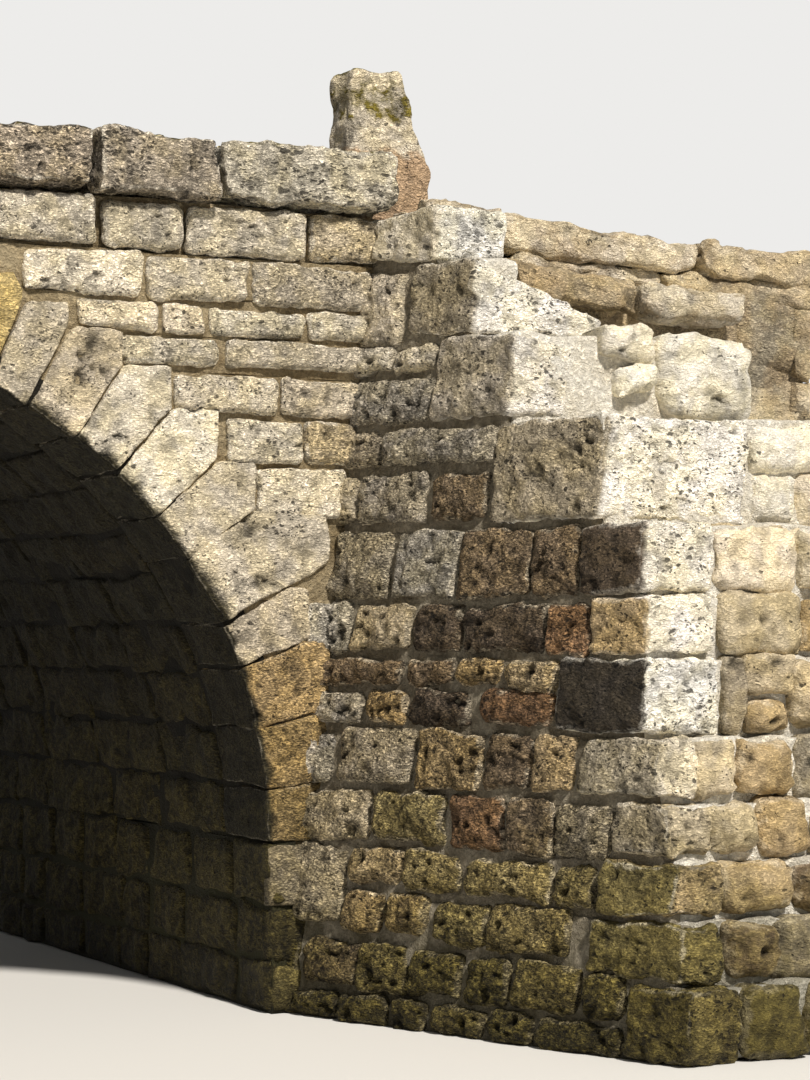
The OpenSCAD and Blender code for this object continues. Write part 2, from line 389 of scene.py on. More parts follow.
    def block(self, low, high, colour, edge=0.02, pits=0, rough=1.0, middle=None, cell=None,
              place=None, jitter=0.0, stain_and_shade=None, holes=()):
        """A whole block between two rings of four corners, with another ring between them at
        the share of its height that middle names first. Corners run so that they turn from
        the first direction to the second, seen against the third. The side between the first
        two corners can take its own colour: a real stain on the corner stones, and painted
        shade on the soffits of the arch stones."""
        spacing = cell if isinstance(cell, tuple) else (cell or self.cell,) * 3
        low, high = np.array(low, float), np.array(high, float)
        low = low + self.random.uniform(-jitter, jitter, low.shape)
        high = high + self.random.uniform(-jitter, jitter, high.shape)
        size = np.array([
            np.linalg.norm(low[1] - low[0]) + np.linalg.norm(high[1] - high[0]),
            np.linalg.norm(low[3] - low[0]) + np.linalg.norm(high[3] - high[0]),
            np.linalg.norm(high[0] - low[0]) + np.linalg.norm(high[2] - low[2])]) / 2
        edge = min(edge, 0.28 * size.min())
        cuts = [cells_for(*pair) for pair in zip(size, spacing)]
        blank = block_blank(*cuts)
        spot = np.stack([
            grid_lines(cuts[axis], size[axis], edge)[
                np.rint((blank[0][:, axis] + 1) / 2 * cuts[axis]).astype(int)]
            for axis in range(3)], 1)
        near = np.minimum(spot, size - spot)
        moved, _ = worn(near, edge)
        spot = np.where(spot < size / 2, moved, size - moved) / size
        x, y, z = spot.T
        shares = np.stack([(1 - x) * (1 - y), x * (1 - y), x * y, (1 - x) * y], 1)
        levels, rings = [0, 1], [low, high]
        if middle:
            levels, rings = [0, middle[0], 1], [low, np.array(middle[1], float), high]
        places = np.zeros((len(z), 3))
        for (low_at, high_at), (below, above) in zip(zip(levels, levels[1:]),
                                                     zip(rings, rings[1:])):
            inside = (z >= low_at) & (z <= high_at)
            share = ((z - low_at) / (high_at - low_at))[:, None]
            fitted = (shares @ below) * (1 - share) + (shares @ above) * share
            places[inside] = fitted[inside]
        rim = np.clip(1 - np.sort(near, axis=1)[:, 1] / (edge * 1.6), 0, 1)
        centre = places.mean(0)
        if place:
            centre = place(*centre[:, None])[0]
            places = place(*places.T)
        inward = centre - places
        inward /= np.linalg.norm(inward, axis=1, keepdims=True)
        # One side is coloured up to a ragged edge: a real stain on corner stones, painted shade on
        # arch soffits.
        if stain_and_shade:
            edge_of_stain_and_shade = 0.022 + 0.02 * lumps(places / 0.06)[:, 1]
            tinted = np.clip(1.5 - near[:, 1] / edge_of_stain_and_shade, 0, 1) * (y < 0.5)
            clean, dirty = (np.array(tone(PALETTE[name])[:3]) for name in (colour, stain_and_shade))
            colour = clean + tinted[:, None] * (dirty - clean)
        self.take(blank, places, inward, rim, colour, pits, rough, holes)

    def box(self, x, y, z, colour, **given):
        """A level block between two places along each axis."""
        low, high = ([(x[0], y[0], level), (x[1], y[0], level), (x[1], y[1], level),
                      (x[0], y[1], level)] for level in z)
        self.block(low, high, colour, **given)

    def finish(self, name, nodes, slot, finish, left=0, back=0):
        """Joins the stones, turns them to their corner and sets them in the model."""
        shape = bpy.data.meshes.new(name)
        points = np.concatenate(self.points) * [1 - 2 * left, 1 - 2 * back, 1]
        traits = np.concatenate(self.traits)
        shape.vertices.add(len(points))
        shape.vertices.foreach_set("co", points.astype(np.float32).ravel())
        shape.loops.add(self.corner_count)
        shape.loops.foreach_set("vertex_index", np.concatenate(self.corners))
        shape.polygons.add(sum(map(len, self.starts)))
        shape.polygons.foreach_set("loop_start", np.concatenate(self.starts))
        shape.update(calc_edges=True)
        if left != back:
            shape.flip_normals()
        shape.shade_smooth()
        own = shape.attributes.new("stone_colour", "FLOAT_COLOR", "POINT")
        own.data.foreach_set("color", np.c_[traits[:, :3], np.ones(len(traits))].ravel())
        # The fourth trait marks where mortar is smeared; the fifth is painted shade for sunken places
        # and pits.
        for column, trait in ((3, "rim"), (4, "hollow")):
            values = shape.attributes.new(trait, "FLOAT", "POINT")
            values.data.foreach_set("value", traits[:, column].copy())
        shape.materials.append(finish)
        piece = bpy.data.objects.new(name, shape)
        bpy.context.scene.collection.objects.link(piece)
        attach(piece, "root")
        if nodes:
            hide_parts(*nodes)
        return piece


def stone_finish(name, smear="C2B89F", smeared=0.5, pitted=0.5, green_top=1.2, green=0.6,
                 moss=0.0, relief=0.010, coarse=1.0, grimy=0.4, foot=None, band=None, earthy=0.0,
                 fine=1.0, bedded=1.3, gape=1.0):
    """Weathered limestone: its own colour, patches, grime, open grain, pits in drifts, mortar
    over its edges, green up to a height, a stained foot, and moss on upward faces. Pits and
    sunken places are darkened as painted shade, and the stone is darker towards the ground."""
    made, tree = material(name)
    at = tree.add("ShaderNodeTexCoord", out="Object")
    own = tree.add("ShaderNodeAttribute", out="Color", attribute_name="stone_colour")
    rim, hollow = (tree.add("ShaderNodeAttribute", out="Fac", attribute_name=trait)
                   for trait in ("rim", "hollow"))
    values = {0: at.noise(38, out="Color"), 1: (0.034, 0.034, 0.034), 2: at}
    bent = tree.add("ShaderNodeVectorMath", values, operation="MULTIPLY_ADD")
    bent = bent.times((0.8, 0.8, bedded))

    def pits(scale, width, drift):
        """Holes of many sizes, up to that share of a cell, where the drift of them passes."""
        away = bent.scatter(scale)
        pick = away.beside("Color").part("X")
        return (1 - (away * (2.5 - 1.5 * pick)).between(width * 0.65, width)) * drift

    patch, cloud = at.noise(2.7).between(0.36, 0.64), at.noise(13, 3, 0.6).between(0.34, 0.66)
    lump = bent.noise(36).between(0.36, 0.64)
    crumb = at.times((0.7, 0.7, 1.5)).noise(105, 2, 0.7).between(0.42, 0.58)
    dark = 1 - own.part("Y").between(0.22, 0.62)
    tinge = at.noise(8.5, 2, 0.6).between(0.38, 0.62)
    wide = at.noise(5).between(0.62 - 0.25 * pitted, 0.72 - 0.22 * pitted)
    narrow = at.noise(9).between(0.60 - 0.2 * pitted, 0.72 - 0.2 * pitted)
    hole = pits(25.0 * fine, 0.34 * gape, wide).larger(pits(60.0 * fine, 0.42 * gape, narrow))
    colour = own.times(tinge.blend((1.02, 1.0, 0.91, 1.0), (0.99, 1.0, 1.04, 1.0)))
    colour = colour.scaled(0.86 + 0.14 * patch + 0.14 * cloud)
    grime = at.noise(4.3, 3, 0.7).between(0.48, 0.66) * grimy
    colour = grime.blend(colour, colour.scaled(0.40))
    if earthy:
        earth = at.noise(3.1, 4, 0.65).between(0.46, 0.62) * earthy
        colour = earth.blend(colour, tone("9C8058"))
    if smeared:
        mortar = (rim * 0.8 + cloud * 0.4 - 0.2).between(0.55, 0.85) * smeared
        colour = mortar.blend(colour, tone(smear))
    height = at.part("Z")
    if green:
        wet = 1 - (height + (patch - 0.5) * 0.4 + (cloud - 0.5) * 0.16).between(0.15, green_top)
        slime = (cloud * 0.6 + lump * 0.4).blend(tone("352E18"), tone("8A7C40"))
        colour = (wet * green).blend(colour, slime)
    if foot:
        tinted = 1 - (height + (cloud - 0.5) * 0.05).between(*foot)
        colour = (tinted * 0.85).blend(colour, tone("BE9E7C"))
    if moss:
        up = tree.add("ShaderNodeNewGeometry", out="Normal").part("Z").between(0.3, 0.9)
        tuft = up * at.noise(5.2, 5, 0.7).between(0.66 - 0.2 * moss, 0.72 - 0.2 * moss)
        if band:
            level = height + (cloud - 0.5) * 0.07
            tuft = tuft.larger(level.between(band[0], band[0] + 0.04)
                               * (1 - level.between(band[1] - 0.03, band[1]))
                               * (cloud * 0.7 + lump * 0.6))
        colour = tuft.blend(colour, cloud.blend(tone("4C4718"), tone("857834")))
    grain = lump * 0.3 + crumb * 0.7 - 0.5
    colour = colour.scaled(1.13 + 0.06 * dark + grain * (0.5 + 0.8 * dark) * coarse)
    # Painted shade: pits and sunken places are darkened.
    colour = colour.scaled(1 - (hole * 0.82).larger(hollow * 0.85))
    # Darker towards the ground, below about half a metre.
    near_ground = 1 - (height + (cloud - 0.5) * 0.05).between(-0.1, 0.55)
    colour = colour.scaled(1 - 0.58 * near_ground)
    rise = cloud * 0.3 + (lump * 0.9 + crumb * 0.6) * coarse - hole * 0.9
    surface(tree, colour, 0.92, rise, relief)
    return made


def mortar_finish(name, light, dark, green_top=1.0, green=0.5):
    """Coarse lime mortar with sand in it."""
    made, tree = material(name)
    at = tree.add("ShaderNodeTexCoord", out="Object")
    cloud, sand = at.noise(6, 6, 0.65), at.noise(190)
    clot = at.noise(45, 4, 0.7).between(0.3, 0.7)
    colour = cloud.between(0.3, 0.7).blend(tone(dark), tone(light))
    colour = colour.scaled(0.55 + 0.3 * sand + 0.5 * clot)
    height = at.part("Z")
    wet = (1 - (height + (cloud - 0.5) * 1.2).between(0.2, green_top)) * green
    colour = wet.blend(colour, tone("4B4A2C"))
    colour = colour.scaled(0.5 + 0.5 * height.between(0.0, 0.2))
    surface(tree, colour, 0.95, cloud * 1.5 + clot + sand * 0.5, 0.014)
    return made


def panel(start, end, low, high, gap=0.0):
    """The corners of a stone's face that fills this space, less a gap all round."""
    return [(start + gap, low + gap), (end - gap, low + gap), (end - gap, high - gap),
            (start + gap, high - gap)]


def in_vault(u, v, w):
    """The abutment face and the vault over it: u is -Y, v runs up the face and round."""
    turn = np.maximum(v - spring_z, 0) / face_x
    rise = np.minimum(v, spring_z)
    reach = face_x - w
    return np.stack([reach * np.cos(turn), -u, rise + reach * np.sin(turn)], -1)


def on_face(u, v, w):
    """The face of the bridge: u is X and v is Z."""
    return np.stack([u, -half_w - w, v], -1)


def on_rear(u, v, w):
    """The other face, where u runs the other way."""
    return np.stack([back_x + face_x - u, half_w + w, v], -1)


def fill_course(masonry, place, low, high, start, end, length, colours, gap=0.012, **given):
    """Lays one course, from start to end and between low and high, with stones of about that
    length."""
    count = max(1, round((end - start) / length))
    joints = np.linspace(start, end, count + 1)
    joints[1:-1] += masonry.random.uniform(-0.22, 0.22, count - 1) * (end - start) / count
    for near, far in zip(joints, joints[1:]):
        outline = panel(near, far, low, high, gap / 2)
        masonry.stone(place, outline, masonry.random.choice(colours), **given)


# The vault and abutment stones and the mortar behind them are near black: partly damp dark stone,
# partly painted shade inside the vault.
vault_stone = stone_finish("vault_limestone", smeared=0.0, pitted=0.4, green_top=1.9, green=0.3,
                           relief=0.012, grimy=0.6)
wall_mortar = mortar_finish("buff_mortar", "BBAB8B", "8A795A")
dark_mortar = mortar_finish("vault_mortar", "2A261C", "17150F")

for left in (0, 1):
    side = ENDS[left]
    walling = Masonry(21 + left, 0.075)
    for low, high in ((0, 0.2), (0.2, 0.43), (0.43, spring_z)):
        fill_course(walling, in_vault, low, high, -half_w, half_w, 0.42,
                    ["shade"], rough=1.5, edge=0.022, jitter=0.010)
        for face in (on_face, on_rear):
            fill_course(walling, face, low, high, face_x, back_x, 0.40, ["dull", "olive", "shade"],
                        edge=0.02)
    walling.finish(f"abutment_stones_{side}", [f"abutment_{side}"], "vault_stone", vault_stone,
                   left)


# The barrel: courses of long slabs, wedge shaped, that run in under the bridge between the two
# face rings. They were laid over a frame, and the mortar has washed out of their joints.
RING_STONES = 27
ring_in = 0.45
course_rise = math.pi * face_x / RING_STONES

for left in (0, 1):
    slabs = Masonry(31 + left, (0.058, 0.12)[left])
    for course in range((RING_STONES + 1) // 2):
        low = spring_z + course * course_rise
        high = min(low + course_rise, crown_v)
        fill_course(slabs, in_vault, low, high, -half_w + ring_in, half_w - ring_in, 0.62,
                    ["shade"], edge=0.014, rough=1.6, gap=0.016, jitter=0.010)
    slabs.finish(f"vault_slabs_{ENDS[left]}", ["barrel"], "vault_stone", vault_stone, left)

backing_y = 2.08
backing = Masonry(41, 0.25, wobble=0.004)
for left in (0, 1):
    way = 1 - 2 * left
    turned = (lambda u, v, w: in_vault(u * way, v, w) * [way, 1, 1])
    steps = [0, spring_z, *np.linspace(spring_z, crown_v, 7)[1:]]
    for low, high in zip(steps, steps[1:]):
        backing.bed(turned, panel(-backing_y, backing_y, low, high), "shade", -0.016)
backing.finish("vault_mortar", [], "packing", dark_mortar)


# The face rings: 27 cut stones in each face, bedded on the radius. Stones vary in length, and
# the big one at the height of the wing runs out over its neighbours.
ring_stone = stone_finish("arch_limestone", smear="E9DFCA", smeared=0.12, pitted=0.55,
                          green_top=0.9, green=0.3, relief=0.006, coarse=1.25, grimy=0.25,
                          fine=1.3, gape=1.2)
RING_JOINTS = [0, 6.3, 13.5, 21.0, 26.6, 35.1, 41.4, 48.5, 54.8, 61.4, 66.6, 73.3, 80.0, 86.7]
RING_COLOURS = ["fawn", "fawn", "sand", "linen", "pale", "pale", "light", "pale", "linen", "linen",
                "yellow", "linen", "linen", "linen"]
RING_OUT = [0.30, 0.30, 0.33, 0.33, 0.54, 0.36, 0.36, 0.36, 0.35, 0.36, 0.36, 0.36, 0.36, 0.36]
KEYSTONE = (86.9, 93.1, 0.38, "cream")
ring_joint = 0.13
ring_top = 0.37
RING_HOLES = [((1.915, -2.1, 1.716), 0.05), ((1.95, -2.1, 1.72), 0.035),
              ((1.87, -2.1, 1.93), 0.045), ((1.205, -2.1, 2.65), 0.055),
              ((1.165, -2.1, 2.595), 0.045), ((1.145, -2.1, 2.50), 0.045),
              ((1.265, -2.1, 2.545), 0.04)]


def in_ring(u, v, w):
    """The ring's space: u is the turn in metres on the intrados, v the depth, w towards -Y."""
    turn = u / face_x
    reach = face_x + v
    return np.stack([reach * np.cos(turn), -half_w - w, spring_z + reach * np.sin(turn)], -1)


def ring_block(masonry, start, end, out, colour, **given):
    """One arch stone, between two turns in degrees. Its outer end is cut square, level on top
    and upright at the side."""
    far = min(out, ring_top)
    low_turn, high_turn = math.radians(start), math.radians(end)
    heel_x, heel_z = (face_x + out) * math.cos(low_turn), (face_x + far) * math.sin(high_turn)
    heel_at = (math.atan2(heel_z, heel_x) - low_turn) / (high_turn - low_turn)
    heel_out = max(math.hypot(heel_x, heel_z) - face_x - out - (far - out) * heel_at, 0)

    def squared(u, v, w):
        share = (u / face_x - low_turn) / (high_turn - low_turn)
        rise = np.clip(np.minimum(share / heel_at, (1 - share) / (1 - heel_at)), 0, 1)
        return in_ring(u, v * (1 + rise * heel_out / out), w)

    start, end = low_turn * face_x, high_turn * face_x
    # The soffit side takes the near-black shade colour: painted shadow under the arch.
    masonry.block([(end, 0, -ring_in), (start, 0, -ring_in), (start, out, -ring_in),
                   (end, far, -ring_in)],
                  [(end, 0, 0), (start, 0, 0), (start, out, 0), (end, far, 0)],
                  colour, place=squared, holes=RING_HOLES, stain_and_shade="shade", **given)


for left, back, side in CORNERS:
    cell = 0.014 if side == SHOWN else 0.05
    stones = Masonry(51 + left + 2 * back, cell, rough=0.005, wobble=0.010)
    for start, end, colour, out in zip(RING_JOINTS, RING_JOINTS[1:], RING_COLOURS, RING_OUT):
        pits = stones.random.integers(2, 9)
        across = cell if start < 62 else 0.045
        ring_block(stones, start + ring_joint, end - ring_joint, out, colour, edge=0.012,
                   pits=pits, cell=(across, across, 3 * cell))
    if not left:
        start, end, out, colour = KEYSTONE
        ring_block(stones, start, end, out, colour, edge=0.012, pits=5, cell=0.045)
    stones.finish(f"arch_ring_stones_{side}", [f"arch_ring_{FACES[back]}"], "arch_stone",
                  ring_stone, left, back)


# The spandrel walls and the upper course: squared stones in level courses with tight buff
# joints, that step up over the square ends of the ring. The wing covers their outer ends.
upper_z = 3.02
coping_z = 3.235
wall_gap = 0.012
wall_stone = stone_finish("wall_limestone", smear="FAF1DE", smeared=0.7, pitted=0.6,
                          green_top=0.9, green=0.4, relief=0.009, coarse=1.55, grimy=0.2,
                          fine=1.35, gape=1.25)
# Foot and top of each row, then start, end and colour of its stones.
SPANDREL_ROWS = [
    (2.83, 3.02, [(0.90, 1.412, "light"), (1.412, 1.876, "linen"), (1.876, 2.44, "linen")]),
    (2.70, 2.83, [(1.12, 1.482, "light"), (1.482, 1.682, "pale"), (1.682, 2.124, "light"),
                  (2.124, 2.42, "light")]),
    (2.56, 2.70, [(1.30, 1.756, "linen"), (1.756, 2.40, "pale")]),
    (2.39, 2.56, [(1.53, 2.002, "light"), (2.002, 2.39, "linen")]),
    (2.19, 2.39, [(1.77, 2.112, "light"), (2.112, 2.36, "buff")]),
    (1.98, 2.19, [(1.89, 2.32, "light")]),
    (1.44, 1.645, [(2.115, 2.26, "grey")]),
    (0.93, 1.145, [(2.09, 2.20, "grey")]),
]
UPPER_JOINTS = [0, 0.34, 0.78, 1.225, 1.59, 2.127, 2.52, 2.9]
UPPER_COLOURS = ["cream", "linen", "pale", "pale", "pale", "cream", "linen"]

for left, back, side in CORNERS:
    cell = 0.012 if side == SHOWN else 0.045
    walling = Masonry(61 + left + 2 * back, cell, rough=0.005, wobble=0.011)
    walling.pit_size = 0.012
    for low, high, stones in SPANDREL_ROWS:
        for start, end, colour in stones:
            walling.stone(on_face, panel(start, end, low, high, wall_gap), colour, edge=0.020,
                          bulge=0.008, jitter=0.009, pits=walling.random.integers(2, 9))
    if side != SHOWN:
        fill_course(walling, on_face, 1.79, 1.98, 2.28, 2.9, 0.4, ["cream", "buff"], edge=0.014)
    walling.finish(f"spandrel_stones_{side}", [f"spandrel_{side}"], "wall_stone", wall_stone,
                   left, back)

    course = Masonry(71 + left + 2 * back, cell, rough=0.006, wobble=0.012)
    course.pit_size = 0.012
    for start, end, colour in zip(UPPER_JOINTS, UPPER_JOINTS[1:], UPPER_COLOURS):
        outline = panel(start + 0.009, end - 0.009, upper_z + 0.010, coping_z - 0.016)
        course.stone(on_face, outline, colour, edge=0.024, bulge=0.008,
                     pits=course.random.integers(4, 12))
    course.finish(f"upper_course_stones_{side}", [f"upper_course_{FACES[back]}"],
                  "wall_stone", wall_stone, left, back)

for back in (0, 1):
    joints = Masonry(81 + back, 0.2, rough=0.006, wobble=0.006)
    for left in (0, 1):
        levels = [0, 0.3, spring_z, *np.linspace(0.9, 2.85, 14), upper_z, coping_z]
        for low, high in zip(levels, levels[1:]):
            near = [math.sqrt(max(1.99 ** 2 - max(level - spring_z, 0) ** 2, 0))
                    for level in (low, high)]
            outline = [(near[0], low), (back_x, low), (back_x, high), (near[1], high)]
            if left:
                outline = [(-outline[i][0], outline[i][1]) for i in (1, 0, 3, 2)]
            joints.bed(on_face, outline, "cream", -0.034 if low < upper_z else -0.07)
    joints.finish(f"wall_mortar_{FACES[back]}", [], "wall_stone", wall_mortar, 0, back)


# The wing walls: level courses of squared rubble, splayed out from the face and battered. The
# mortar stands back from the stones and is smeared over their edges.
splay = math.radians(19.4)
lean = math.radians(6.8)
wing_foot_x = 2.02
wing_gap = 0.006
FIRST_LEDGE = 2
WHITE_COURSES = (2, 3)
WING_OUT = Vector((-math.cos(lean) * math.cos(splay), -math.cos(lean) * math.sin(splay),
                   math.sin(lean)))
COURSE_Z = [3.235, 3.02, 2.70, 2.35, 1.94, 1.66, 1.435, 1.145, 0.91, 0.71, 0.50, 0.28, 0.0]
REACH = [0.32, 0.545, 0.78, 1.25, 1.47, 1.50, 1.53, 1.63, 1.70, 1.75, 1.80, 1.86]
END_W = [0.35, 0.52, 1.10, 1.05, 1.05, 1.05, 0.98, 0.98, 0.98, 0.98, 0.98, 0.98]
CORNER_L = [0.32, 0.32, 0.385, 0.52, 0.28, 0.24, 0.39, 0.37, 0.25, 0.35, 0.40, 0.28]
CORNER_W = [0.35, 0.64, 0.28, 0.69, 0.34, 0.34, 0.36, 0.20, 0.22, 0.24, 0.20, 0.26]
WING_ROWS = [
    (2.675, 3.00, [(-0.05, 0.19, "pale")]),
    (2.56, 2.67, [(-0.05, 0.17, "pale"), (0.17, 0.385, "pale")]),
    (2.36, 2.55, [(-0.05, 0.385, "grey")]),
    (2.18, 2.345, [(-0.05, 0.155, "dull"), (0.155, 0.725, "grey")]),
    (1.955, 2.155, [(-0.05, 0.065, "cream"), (0.065, 0.41, "grey"), (0.42, 0.715, "brown")]),
    (1.66, 1.93, [(-0.05, 0.265, "dull"), (0.265, 0.615, "grey"), (0.615, 0.945, "brown"),
                  (0.945, 1.185, "brown")]),
    (1.44, 1.645, [(-0.05, 0.105, "grey"), (0.11, 0.42, "buff"), (0.42, 0.665, "soot"),
                   (0.665, 1.055, "soot"), (1.06, 1.255, "russet")]),
    (1.31, 1.43, [(-0.05, 0.375, "brown"), (0.40, 0.645, "brown"), (0.65, 0.88, "sand"),
                  (0.88, 1.135, "tan")]),
    (1.16, 1.305, [(-0.05, 0.21, "grey"), (0.215, 0.425, "sand"), (0.43, 0.755, "soot"),
                   (0.77, 1.135, "russet")]),
    (0.925, 1.15, [(-0.05, 0.095, "grey"), (0.105, 0.49, "dull"), (0.50, 0.83, "sand"),
                   (0.83, 1.055, "brown"), (1.055, 1.25, "tan")]),
    (0.70, 0.905, [(-0.05, 0.315, "buff"), (0.315, 0.69, "lichen"), (0.695, 0.955, "russet"),
                   (0.96, 1.19, "brown"), (1.19, 1.445, "dull")]),
    (0.37, 0.68, [(-0.05, 0.205, "dull")]),
    (0.525, 0.685, [(0.21, 0.505, "tan"), (0.51, 0.785, "lichen"), (0.795, 1.205, "lichen"),
                    (1.21, 1.395, "lichen")]),
    (0.335, 0.51, [(0.22, 0.425, "sand"), (0.43, 0.655, "sand"), (0.66, 0.935, "lichen"),
                   (0.94, 1.315, "lichen")]),
    (0.125, 0.32, [(-0.05, 0.03, "moss"), (0.035, 0.33, "brown"), (0.33, 0.575, "olive"),
                   (0.58, 0.85, "moss"), (0.85, 1.06, "moss"), (1.065, 1.38, "olive"),
                   (1.385, 1.57, "moss")]),
    (0.0, 0.12, [(-0.05, 0.255, "moss"), (0.26, 0.505, "moss"), (0.51, 0.695, "moss"),
                 (0.70, 0.985, "olive"), (0.985, 1.2, "moss"), (1.2, 1.57, "moss")]),
]
WING_HOLES = [(0.492, 1.799, 0.035), (0.454, 1.54, 0.018), (1.183, 2.245, 0.03),
              (1.146, 2.001, 0.025), (1.078, 1.047, 0.016), (1.139, 1.105, 0.014),
              (1.419, 1.078, 0.02), (1.456, 1.025, 0.016), (1.537, 1.028, 0.016),
              (1.384, 1.113, 0.016), (1.535, 0.974, 0.03), (1.483, 0.667, 0.03),
              (1.456, 0.432, 0.035), (0.481, 2.878, 0.025), (0.317, 2.611, 0.02)]


def wing_x(reach, height):
    return wing_foot_x + height * math.tan(lean) / math.cos(splay) + reach * math.tan(splay)


def on_wing(u, v, w):
    """The wing's face: u is the reach beyond the spandrel and v is Z."""
    x = wing_x(u, v) + w * WING_OUT.x
    return np.stack([x, -half_w - u + w * WING_OUT.y, v + w * WING_OUT.z], -1)


wing_holes = [(on_wing(*spot, 0.0), radius) for *spot, radius in WING_HOLES]
wing_stone = stone_finish("wing_limestone", smear="B9AF9A", smeared=0.55, pitted=0.75,
                          green_top=1.0, green=0.55, relief=0.014, coarse=1.3, grimy=0.45,
                          fine=1.15, gape=1.2)
wing_mortar = mortar_finish("grey_mortar", "AEA592", "7C725F", green_top=0.6, green=0.4)
pale_mortar = mortar_finish("pale_mortar", "FFFBF0", "EDE4D0", green_top=0.9, green=0.6)


def on_ledge(reach):
    """The end of a course that stands out by reach: u is X and v is Z."""
    return lambda u, v, w: np.stack([u, -half_w - reach - w, v], -1)


def on_flank(x):
    """The right side of the wing's end: u is Y and v is Z."""
    return lambda u, v, w: np.stack([x + w, u, v], -1)


def on_step(z):
    """The top of a step: u is X and v is Y."""
    return lambda u, v, w: np.stack([u, v, z + w], -1)


for left, back, side in CORNERS:
    cell = 0.0105 if side == SHOWN else 0.05
    walling = Masonry(91 + left + 2 * back, cell, rough=0.0075, wobble=0.016)
    for low, high, stones in WING_ROWS:
        for start, end, colour in stones:
            walling.stone(on_wing, panel(start, end, low, high, wing_gap), colour, edge=0.022,
                          bulge=0.014, jitter=0.010, depth=0.09,
                          pits=walling.random.integers(3, 12), holes=wing_holes)
    walling.finish(f"wing_stones_{side}", [f"wing_{side}"], "wing_stone", wing_stone, left, back)

    cell = 0.03 if side == SHOWN else 0.09
    joints = Masonry(101 + left + 2 * back, cell, rough=0.005, wobble=0.012)
    ends = Masonry(107 + left + 2 * back, 1.5 * cell, rough=0.006, wobble=0.016)
    for i, (high, low) in enumerate(zip(COURSE_Z, COURSE_Z[1:])):
        foot, top, reach = max(low - 0.03, 0), high - 0.012, REACH[i]
        joints.bed(on_wing, panel(-0.03, reach - 0.03, foot, top), "dull", -0.036, 0.2, 0.008)
        start = wing_x(reach, low)
        face = panel(start + 0.05, start + (END_W[i] if i >= FIRST_LEDGE else 0.3) - 0.05,
                     foot, top)
        ends.bed(on_ledge(reach), face, "dull", -0.015 if i in WHITE_COURSES else -0.05,
                 max(reach - 0.07, 0.22), 0.01)
    joints.finish(f"wing_mortar_{side}", [], "wing_stone", wing_mortar, left, back)
    ends.finish(f"wing_end_mortar_{side}", [], "wing_stone", pale_mortar, left, back)


# The corner stones of the wings: big dressed blocks, one to a course, that step out as they go
# down. Behind each, rounded rubble fills the rest of the course's end.
corner_stone = stone_finish("corner_limestone", smear="F4EEE0", smeared=0.25, pitted=0.8,
                            green_top=0.95, green=0.6, relief=0.012, coarse=0.85, grimy=0.15,
                            gape=1.25)
fill_stone = stone_finish("fill_limestone", smear="E2D8C2", smeared=0.3, pitted=0.3,
                          green_top=0.95, green=0.5, relief=0.011, coarse=0.55, grimy=0.2)
CORNER_HOLES = [((2.975, -3.35, 2.15), 0.04), ((2.985, -3.35, 2.11), 0.04),
                ((2.985, -3.35, 2.07), 0.036), ((2.99, -3.35, 2.03), 0.036),
                ((3.03, -3.35, 2.15), 0.036), ((3.01, -3.35, 1.975), 0.03),
                ((2.932, -3.63, 1.343), 0.025), ((2.861, -2.645, 2.849), 0.03),
                ((2.88, -2.88, 2.53), 0.03)]
# How far the right end of a block's top is broken down, then the rubble's X, Z and colour.
BROKEN = {1: 0.22, 2: 0.03}
SPLIT_STONE = 3
END_STONES = {
    2: [(3.02, 3.275, 2.595, 2.74, "white"), (3.08, 3.27, 2.46, 2.58, "white"),
        (3.295, 3.72, 2.37, 2.72, "white")],
    3: [(3.42, 3.80, 2.145, 2.34, "white"), (3.42, 3.62, 1.95, 2.14, "white"),
        (3.63, 3.84, 1.95, 2.135, "pale")],
    4: [(3.11, 3.46, 1.665, 1.92, "pale"), (3.47, 3.79, 1.665, 1.92, "cream")],
    5: [(3.11, 3.46, 1.44, 1.655, "buff"), (3.47, 3.78, 1.44, 1.65, "tan")],
    6: [(3.105, 3.19, 1.15, 1.43, "dull"), (3.20, 3.42, 1.29, 1.43, "buff"),
        (3.195, 3.40, 1.15, 1.285, "tan"), (3.42, 3.70, 1.15, 1.43, "buff")],
    7: [(2.88, 3.07, 0.92, 1.14, "cream"), (3.08, 3.33, 0.92, 1.14, "tan"),
        (3.34, 3.66, 0.92, 1.14, "dull")],
    8: [(2.90, 3.13, 0.72, 0.90, "buff"), (3.14, 3.38, 0.72, 0.90, "tan"),
        (3.39, 3.64, 0.72, 0.90, "buff")],
    9: [(2.94, 3.24, 0.51, 0.70, "tan"), (3.25, 3.60, 0.51, 0.70, "brown")],
    10: [(2.92, 3.13, 0.29, 0.49, "brown"), (3.14, 3.37, 0.29, 0.49, "dull"),
         (3.38, 3.58, 0.29, 0.49, "olive")],
    11: [(2.95, 3.22, 0.01, 0.27, "moss"), (3.23, 3.56, 0.01, 0.27, "olive")],
}
CORNER_STAINS = ["pale", "dull", "grey", "dull", "soot", "tan", "black", "dull", "dull",
                 "olive", "olive", "moss"]
CORNER_COLOURS = ["chalk", "chalk", "chalk", "chalk", "white", "chalk", "chalk", "pale", "cream",
                  "tan", "olive", "olive"]

